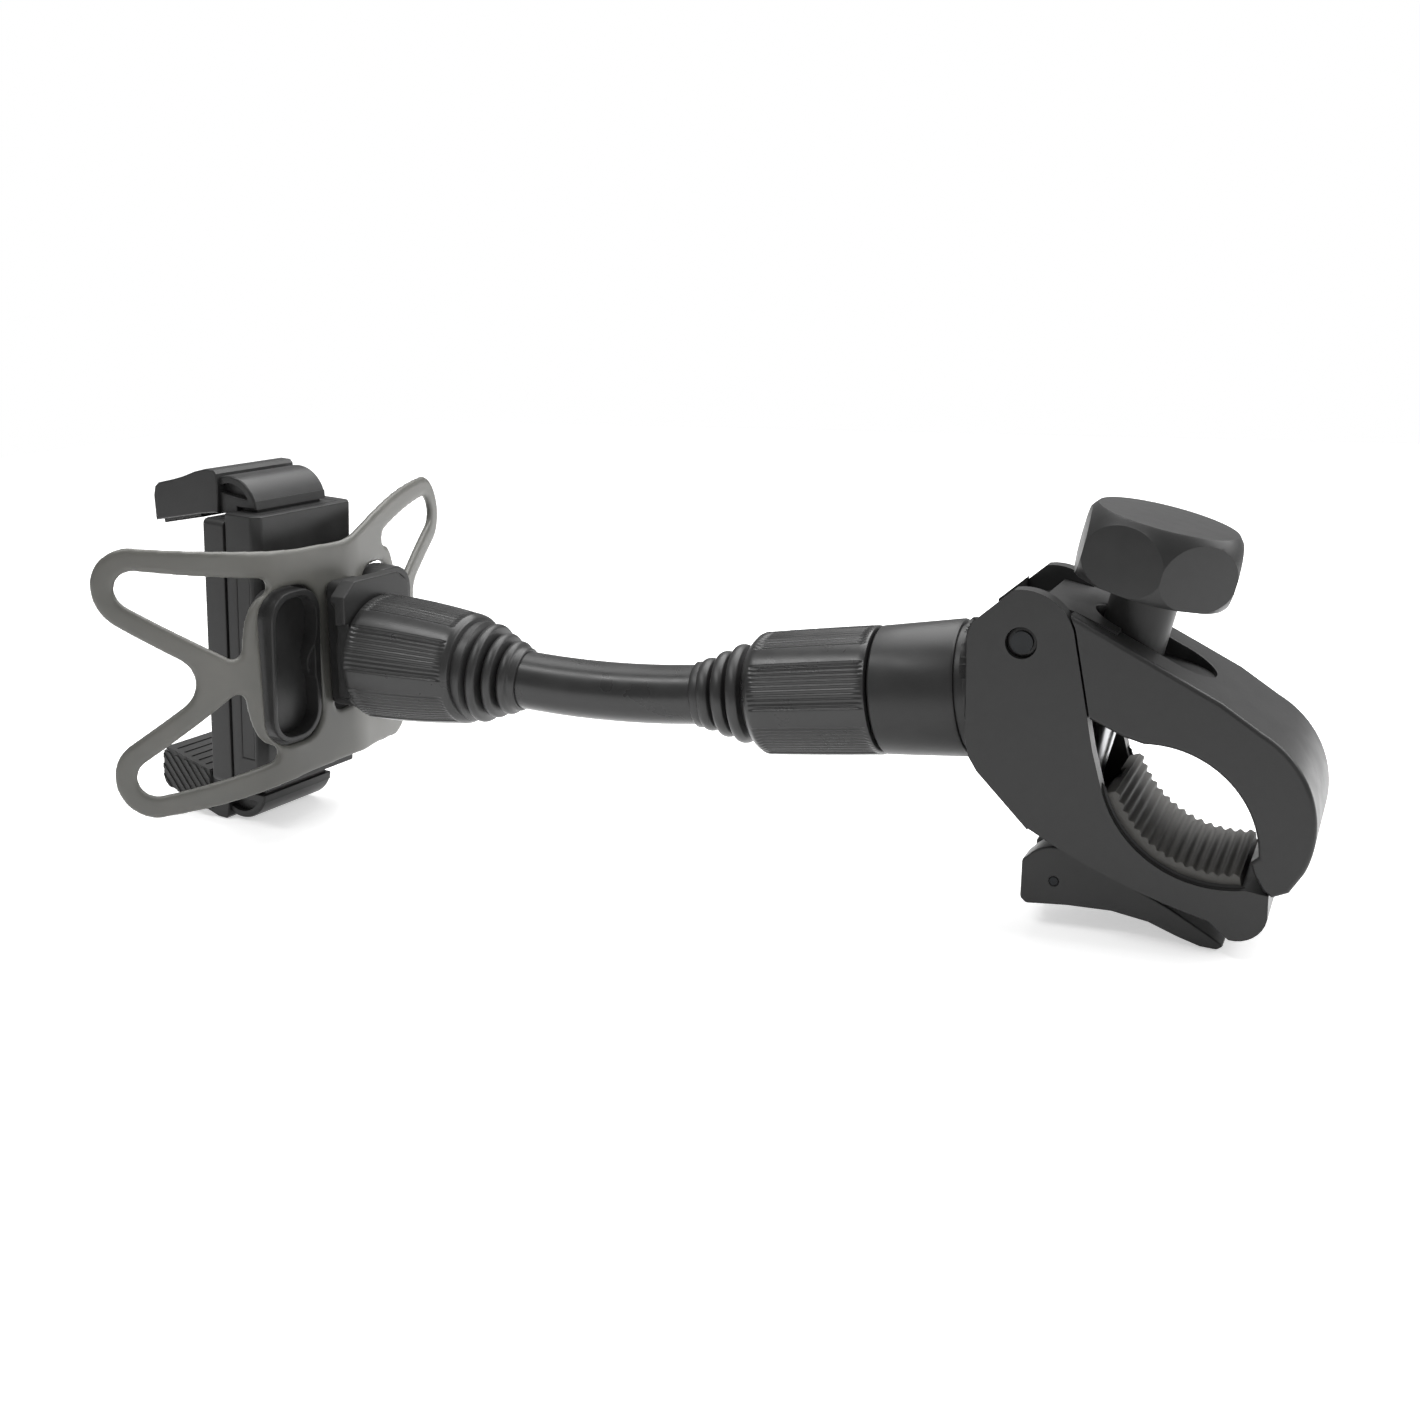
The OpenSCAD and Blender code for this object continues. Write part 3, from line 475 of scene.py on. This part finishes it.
# %% Back shell and face plate
shell = joined("holder_back", SHELL)
fill = [block((-7.2, -3.2), (-18.2, 18.2), (38, 45.7))]
fill += [block((-13.5, -6.9), (s * 16.5 - 1.7, s * 16.5 + 1.7), (38.1, 45.65)) for s in (-1, 1)]
fill += [block((-9.2, -3.8), (s * 22.2 - 0.7, s * 22.2 + 0.7), (-35.2, 27.2)) for s in (-1, 1)]
shell = cut(shell, *fill, operation="UNION")
moulding("back_shell", shell, 0.7, "holder", "holder_back", place=SHELL)
face = joined("holder_front", SHELL)
fill = [block((-19.6, -13.8), (s * 16.5 - 1.7, s * 16.5 + 1.7), (36, 43.05)) for s in (-1, 1)]
fill.append(block((-19.7, -18.5), (-15.5, 15.5), (36.1, 43.0)))
face = cut(face, *fill, operation="UNION")
moulding("face_plate", face, 0.6, "holder", "holder_front", place=SHELL)

# %% [markdown]
# Both jaws are one moulding: a lip in front, a round cowl with hollow ends behind it, and a slide.
# The bottom one is the top one turned over, and stands open a little further.

# %% Jaws of the holder
LIP_WIDTH, COWL_WIDTH, SLIDE_HALF, BOTTOM_OPEN = 36.0, 33.0, 14.6, 3.5
lip_front = [(-49.3, 38.2), (-49.9, 46.5), (-49.2, 49.5), (-47.6, 50.9), (-41, 52.7),
             (-36.7, 54.1), (-31.3, 56.3), (-26.5, 57.7), (-22.8, 57.7), (-21.7, 56.6),
             (-21.3, 52.8), (-21.3, 43.9), (-23.4, 43.9), (-28.9, 42.9)]
lip_rear = [(-24, 44), (-24, 51.5), (-19.1, 50.3), (-13, 49.6), (-6.6, 49.3), (-6.4, 46.6),
            (-14.2, 46.6), (-14.2, 44)]
cowl_round = arc((-17.2, 45.2), 11.2, 7.5, 172.5, 28)
cowl_hollow = arc((-17.2, 45.2), 8.8, 20, 160, 20)
PAD_TILT = move(-38.6, 0, 40.6) @ turn("Y", -13.2)


def holder_jaw(name, slide_from, bore, bore_from, bore_to, body, node, turned_over):
    """bore is the radius of the two holes for the guide rods, between two heights."""
    mesh = slab(lip_front, LIP_WIDTH, radius=0.6)
    cowl = cut(slab(cowl_round, COWL_WIDTH, radius=0.8),
               *[slab(cowl_hollow, 5, s * COWL_WIDTH / 2) for s in (-1, 1)])
    mesh = cut(mesh, slab(lip_rear, COWL_WIDTH - 0.04, radius=0.5), cowl,
               block((-18.4, -7.4), (-SLIDE_HALF, SLIDE_HALF), (slide_from, 47)),
               operation="UNION")
    tools = [bar(bore, bore_to - bore_from, move(-12.9, s * 9.5, (bore_from + bore_to) / 2), 32)
             for s in (-1, 1)]
    tools.append(block((-8.7, 8.7), (-16.7, 16.7), (-1.4, 2.6), PAD_TILT))
    mesh = cut(mesh, *tools)
    place = SHELL
    if turned_over:
        mesh.transform(Matrix.Diagonal((1, 1, -1, 1)))
        bmesh.ops.reverse_faces(mesh, faces=mesh.faces)
        place = SHELL @ move(0, 0, -BOTTOM_OPEN)
    return moulding(name, mesh, 0, body, node, place=place)


holder_jaw("top_lip", 0, 3.3, -1, 41, "top_jaw", "top_jaw", False)
holder_jaw("bottom_lip", 36.5, 1.55, 21, 41.3, "holder", "bottom_jaw", True)

# %% [markdown]
# ## The knob
# The real knob is a swollen drum with a flat top and six flats, so each flat is nearly a circle.
# It is made the same way here: the drum is turned, six planes cut it, and a bevel softens it.

# %% Knob
KNOB_FOOT, KNOB_TURN = 66.5, 12
STEM_LENGTH, STEM_RADIUS = 16.6, 9.0
DRUM_RADIUS, DRUM_MIDDLE, DRUM_HEIGHT, KNOB_FLAT = 23.2, 7.8, 19.3, 20.0
SWELL_OVER, SWELL_UNDER = 17.0, 12.0


def flatten(mesh, point, normal):
    """Cuts a closed mesh with a plane and closes the cut."""
    out = bmesh.ops.bisect_plane(mesh, geom=mesh.verts[:] + mesh.edges[:] + mesh.faces[:],
                                 plane_co=point, plane_no=normal, clear_outer=True, dist=1e-4)
    rim = [e for e in out["geom_cut"] if isinstance(e, bmesh.types.BMEdge)]
    bmesh.ops.holes_fill(mesh, edges=rim, sides=0)


under = arc((DRUM_RADIUS - SWELL_UNDER, DRUM_MIDDLE), SWELL_UNDER, -40.5, 0, 16)
over = arc((DRUM_RADIUS - SWELL_OVER, DRUM_MIDDLE), SWELL_OVER, 0, 42.6, 24)
head = lathe([(0, 0)] + under + over[1:] + [(0, DRUM_HEIGHT)])
for i in range(6):
    facing = turn("Z", 60 * i + KNOB_TURN) @ Vector((1, 0, 0))
    flatten(head, facing * KNOB_FLAT, facing)
bmesh.ops.dissolve_degenerate(head, edges=head.edges, dist=1e-3)
rounded(head, 1.5, angle=17, segments=4)
head.transform(move(0, 0, STEM_LENGTH))
stem = lathe([(0, 0), (STEM_RADIUS - 0.5, 0), (STEM_RADIUS, 0.5), (STEM_RADIUS, STEM_LENGTH - 1),
              (STEM_RADIUS + 2, STEM_LENGTH + 0.6), (0, STEM_LENGTH + 0.6)])
knob = cut(head, stem, operation="UNION")
knob = cut(knob, bar(5.0, 24, move(0, 0, 8)), bar(3.3, 60, move(0, 0, 1.8)))
finish(piece("knob_head", knob, ROD @ move(0, 0, KNOB_FOOT), "knob", "knob", crisp=40),
       nylon)

# %% [markdown]
# ## The rubber boots
# A boot is turned: three round rings that shrink from the collar to the arm, with tight valleys
# between them. It stretches over the ball joint's tilt, and here it is placed once and given to
# neither body.

# %% Boots


def boot(name, place, socket, rings, pitch, throat, node):
    """rings are the crest radii, from the collar to the arm."""
    start = 10.3
    outer = [(rings[0] + 0.2, start - 4), (rings[0] + 0.2, start + 0.4)]
    for i, crest in enumerate(rings):
        middle = start + 1.6 + pitch * (i + 0.5)
        outer += [(crest - 1.9, middle - pitch * 0.5)]
        outer += [(crest - 1.1 + 1.1 * math.cos(math.radians(a)),
                   middle + pitch * 0.36 * math.sin(math.radians(a)))
                  for a in range(-90, 91, 20)]
    end = start + 1.6 + pitch * len(rings)
    outer += [(throat + 0.9, end), (throat + 0.9, end + 1.4), (throat + 0.5, end + 1.8),
              (throat, end + 1.8)]
    inner = [(throat, end), (rings[-1] - 3.4, end - 1.5), (rings[0] - 4.2, start + 2),
             (rings[0] - 4.2, start - 4)]
    profile = outer + [(max(r, throat), z) for r, z in inner]
    mesh = lathe(profile + profile[:1], 96)
    front = place.inverted() @ socket
    flatten(mesh, front @ Vector((0, 0, 10.05)), -(front.to_3x3() @ Vector((0, 0, 1))))
    made = piece(name, mesh, place, None, node, crisp=60)
    finish(made, boot_rubber)
    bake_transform(made)
    return made


THROAT = 9.02
boot("clamp_boot_rubber", ARM_END_A, SOCKET_A, (14.8, 12.9, 11.0), 5.2, THROAT,
     "clamp_bellows")
boot("holder_boot_rubber", ARM_END_B, SOCKET_B, (15.6, 13.4, 11.6), 4.3, THROAT,
     "holder_bellows")

# %% [markdown]
# ## The twist collars
# Each collar is a barrel with six sunk panels of fine ribs, parted by glossy lands. The ribs are
# 1.5 mm apart. The barrel is turned, and then its skin is pushed in where a panel lies, which
# keeps the ribs as real relief and not as a picture of it.

# %% Collars
PANELS, PANEL_HALF, RIB_STEP = 6, 21.5, 4.3


def collar(name, place, radius, neck, length, chamfer, mouth, body, start_angle):
    """radius at the back and neck at the front, where a chamfer leads into the mouth."""
    back = 10 - length
    steps = 24
    shape = [(15.6, back), (radius - 0.8, back), (radius - 0.2, back + 0.25), (radius, back + 0.9)]
    shoulder = length - chamfer
    for i in range(1, steps + 1):
        t = i / steps
        shape.append((radius + (neck - radius) * t ** 1.7, back + 0.9 + (shoulder - 0.9) * t))
    shape += [(neck - (neck - mouth) * u, 10 - chamfer + chamfer * v)
              for u, v in ((0.1, 0.25), (0.5, 0.7), (0.8, 0.93), (1.0, 1.0))]
    shape += [(mouth - 2.6, 10), (mouth - 2.6, 4), (15.6, 1)]
    mesh = lathe(shape + shape[:1], 720)
    low, high = back + 1.4, 10 - chamfer - 0.2
    for vertex in mesh.verts:
        r = math.hypot(vertex.co.x, vertex.co.y)
        if r < mouth + 0.9 or not low < vertex.co.z < high:
            continue
        angle = (math.degrees(math.atan2(vertex.co.y, vertex.co.x)) - start_angle) % (360 / PANELS)
        off = abs(angle - 180 / PANELS)
        if off > PANEL_HALF:
            continue
        rim = min(1.0, (PANEL_HALF - off) / 0.8)
        depth = rim * (0.4 + 0.14 * (1 - math.cos(math.radians(360 * off / RIB_STEP))))
        vertex.co.x *= 1 - depth / r
        vertex.co.y *= 1 - depth / r
    made = piece(name, mesh, place, body, body, crisp=38)
    return finish(made, polished_nylon)


collar("clamp_collar_grip", SOCKET_A, 18.75, 18.2, 38.5, 3.3, 15.2, "clamp_collar", 18)
collar("holder_collar_grip", SOCKET_B, 20.2, 17.4, 38.0, 2.0, 15.9, "holder_collar", 40)

# %% [markdown]
# ## The silicone web
# The web is moulded flat, a sheet 2.5 mm thick with four loops and two eyelets. Hooked over its
# bosses it curls forward. So the flat pattern is drawn first, as one filled curve with holes, and
# then it is bent: the flat distance from the middle is rolled round a wide cylinder.

# %% The web's flat pattern
WEB_AT, WEB_THICK, WEB_Z = 9.8, 2.5, -0.4
NEAR_FROM, NEAR_ROLL, NEAR_STRETCH = 21.5, 56.0, 0.0014
FAR_FROM, FAR_ROLL, FAR_FOLD = 2.0, 35.0, math.radians(16.4)
EYELET_AT, EYELET_HALF_W, EYELET_HALF_H, EYELET_ROUND = 23.1, 12.2, 25.3, 9.0


def smooth(t):
    t = max(0.0, min(1.0, t))
    return t * t * (3 - 2 * t)


def far_rise(s, z):
    """How far the far half climbs towards its loops. Below the middle it starts past the eyelet."""
    climb = 0.45 * smooth((s - 2) / 6) if s < 8 else 0.45 + 0.28 * (s - 8) - 0.003 * (s - 8) ** 2
    upper = smooth((z + 14) / 24)
    return climb * (upper + (1 - upper) * smooth((s - 34) / 14))


def far_flat(y, z):
    """The flat place that the far half carries to (y, z), for the eyelet, which fits its boss."""
    bend_end = FAR_FROM + FAR_ROLL * math.sin(FAR_FOLD)
    if y < bend_end:
        s = FAR_FROM + FAR_ROLL * math.asin((y - FAR_FROM) / FAR_ROLL)
    else:
        s = FAR_FROM + FAR_ROLL * FAR_FOLD + (y - bend_end) / math.cos(FAR_FOLD)
    return s, z - far_rise(s, z)


quarter = ([(0, 36.3), (17, 36.6), (30, 37.7), (50, 40.0)]
           + [(-x, z) for x, z in arc((-69.5, 29.3), 13, 95, 238, 16)]
           + [(-x, z) for x, z in arc((-65.3, 0), 9, 56, 0, 8)])
opening = [(-x, z) for x, z in (
    arc((-69.8, 29.3), 5.9, 82, 238, 12) + arc((-44.0, 8.6), 2.9, -122, 0, 8)
    + [(-40.6, 12), (-39.6, 16.5), (-37.9, 20.3), (-35.8, 22.9)]
    + arc((-34.2, 26.7), 2.9, -45, 82, 8))]
right_side = quarter + [(x, -z) for x, z in reversed(quarter[:-1])]
outline = right_side + [(-x, z) for x, z in reversed(right_side[1:-1])]
holes = [[(sx * x, sz * z) for x, z in opening] for sx in (-1, 1) for sz in (-1, 1)]
holes.append(rounded_box(-EYELET_AT, EYELET_HALF_W, EYELET_HALF_H, EYELET_ROUND))
holes.append([far_flat(y, z) for y, z in
              rounded_box(EYELET_AT, EYELET_HALF_W, EYELET_HALF_H, EYELET_ROUND)])
holes.append(rounded_box(0, 5.0, 19.0, 2.5))
pattern = bpy.data.curves.new("web_pattern", "CURVE")
pattern.dimensions, pattern.fill_mode = "2D", "BOTH"
pattern.extrude, pattern.bevel_depth, pattern.bevel_resolution = WEB_THICK / 2 - 0.7, 0.7, 2
pattern.offset = -0.7
for points in [outline] + holes:
    spline = pattern.splines.new("POLY")
    spline.points.add(len(points) - 1)
    for target, (x, z) in zip(spline.points, points):
        target.co = (x, z, 0, 1)
    spline.use_cyclic_u = True
sheet = bpy.data.objects.new("web_pattern", pattern)
bpy.context.scene.collection.objects.link(sheet)
print("web pattern:", len(outline), "outline points,", len(holes), "holes")

# %% [markdown]
# A long thin face can't bend, so the filled curve is remeshed in even 0.7 mm voxels first.
# Smoothing takes the voxels' steps away and leaves the soft edge of a moulded sheet.

# %% Remesh the pattern and roll it
graph = bpy.context.evaluated_depsgraph_get()
flat = bpy.data.meshes.new_from_object(sheet.evaluated_get(graph))
bpy.data.objects.remove(sheet)
flat_object = bpy.data.objects.new("web_flat", flat)
bpy.context.scene.collection.objects.link(flat_object)
voxels = flat_object.modifiers.new("voxels", "REMESH")
voxels.mode, voxels.voxel_size = "VOXEL", 0.7
graph = bpy.context.evaluated_depsgraph_get()
web = bmesh.new()
web.from_mesh(flat_object.evaluated_get(graph).to_mesh())
bpy.data.objects.remove(flat_object)
for _ in range(4):
    bmesh.ops.smooth_vert(web, verts=web.verts, factor=0.5, use_axis_x=True, use_axis_y=True,
                          use_axis_z=True)


def rolled(s, flat_z, height):
    """Where a point of the flat sheet lies once the sheet is bent: X, Y, Z in the holder."""
    middle = WEB_AT + WEB_THICK / 2
    z = flat_z + WEB_Z
    if s < -NEAR_FROM:
        reach = -s + NEAR_STRETCH * max(0, -s - 30) * max(0, flat_z)
        a = (reach - NEAR_FROM) / NEAR_ROLL
        return Vector((middle - NEAR_ROLL + (NEAR_ROLL + height) * math.cos(a),
                       -NEAR_FROM - (NEAR_ROLL + height) * math.sin(a), z))
    if s < FAR_FROM:
        return Vector((middle + height, s, z))
    a = min((s - FAR_FROM) / FAR_ROLL, FAR_FOLD)
    straight = s - FAR_FROM - FAR_ROLL * a
    return Vector((middle - FAR_ROLL + (FAR_ROLL + height) * math.cos(a) - straight * math.sin(a),
                   FAR_FROM + (FAR_ROLL + height) * math.sin(a) + straight * math.cos(a),
                   z + far_rise(s, flat_z)))


for vertex in web.verts:
    vertex.co = rolled(vertex.co.x, vertex.co.y, vertex.co.z)
bmesh.ops.recalc_face_normals(web, faces=web.faces)
finish(piece("web_silicone", web, HOLDER, "holder", "silicone_web", crisp=70), silicone)

# %% [markdown]
# ## Floor, light and camera
# The photograph has a white sweep and soft light from above and behind, and a narrow light that
# draws a line along the tube. The floor stays a plain diffuse white for the object, shows brighter
# to the camera and in reflections, and ends where it would turn grey. The mount lies on its
# lever's tip and on the foot of the bottom jaw, so the floor is laid through both.

# %% Floor and backdrop
LEVER_TIP, FOOT, FLOOR_HALF = Vector((10.0, 0, -40.6)), Vector((-312.0, 0, -46.8)), 1300
slope = math.degrees(math.atan2(LEVER_TIP.z - FOOT.z, LEVER_TIP.x - FOOT.x))
ground = bmesh.new()
bmesh.ops.create_grid(ground, x_segments=1, y_segments=1, size=FLOOR_HALF)
floor = piece("floor", ground, Matrix.Translation(LEVER_TIP) @ turn("Y", -slope), None)
paper = bpy.data.materials.new("white_paper")
paper.use_nodes = True
tree = paper.node_tree
shader = tree.nodes["Principled BSDF"]
shader.inputs["Base Color"].default_value = srgb("#ececec")
shader.inputs["Roughness"].default_value = 0.9
rays = add(tree, "LightPath")
seen = add(tree, "Math", [(rays.outputs["Is Camera Ray"], 0), (rays.outputs["Is Glossy Ray"], 1)],
           operation="MAXIMUM")
glow = add(tree, "Emission", Color=srgb("#ffffff"), Strength=0.5)
both = add(tree, "AddShader", [(shader.outputs["BSDF"], 0), (glow.outputs["Emission"], 1)])
pick = add(tree, "MixShader", [(seen.outputs["Value"], 0), (shader.outputs["BSDF"], 1),
                               (both.outputs["Shader"], 2)])
tree.links.new(pick.outputs["Shader"], tree.nodes["Material Output"].inputs["Surface"])
floor.data.materials.append(paper)

# %% World and lamps
scene = bpy.context.scene
scene.view_settings.view_transform = "Standard"
world = bpy.data.worlds.new("studio")
scene.world = world
world.use_nodes = True
tree = world.node_tree
dim = tree.nodes["Background"]
dim.inputs["Color"].default_value = srgb("#ffffff")
dim.inputs["Strength"].default_value = 0.38
bright = add(tree, "Background", Color=srgb("#ffffff"), Strength=1.0)
rays = add(tree, "LightPath")
mix = add(tree, "MixShader", [(rays.outputs["Is Camera Ray"], 0), (dim.outputs["Background"], 1),
                              (bright.outputs["Background"], 2)])
tree.links.new(mix.outputs["Shader"], tree.nodes["World Output"].inputs["Surface"])


def lamp(name, place, aim, size, watts):
    light = bpy.data.lights.new(name, "AREA")
    light.shape, light.energy = "RECTANGLE", watts
    light.size, light.size_y = size
    made = bpy.data.objects.new(name, light)
    scene.collection.objects.link(made)
    made.location = place
    made.rotation_euler = (Vector(aim) - Vector(place)).to_track_quat("-Z", "Y").to_euler()


CENTRE = (-0.13, 0, 0.01)
lamp("top_softbox", (-0.05, 0.45, 1.1), CENTRE, (1.3, 1.1), 22)
lamp("strip_light", (-0.45, -0.4, 0.8), CENTRE, (0.8, 0.07), 3.4)
lamp("right_softbox", (0.7, 0.45, 0.65), CENTRE, (0.7, 0.7), 7)

# %% Camera
LENS_PX, PHOTO_PX = 1700, 1420
eye = bpy.data.cameras.new("photo_camera")
eye.sensor_width, eye.lens = 36.0, 36.0 * LENS_PX / PHOTO_PX
eye.clip_start, eye.clip_end = 0.02, 20
camera = bpy.data.objects.new("photo_camera", eye)
scene.collection.objects.link(camera)
camera.location = (0.0516, -0.455, 0.1411)
camera.rotation_euler = (math.radians(90 - 15.24), 0, math.radians(23.2))
scene.camera = camera
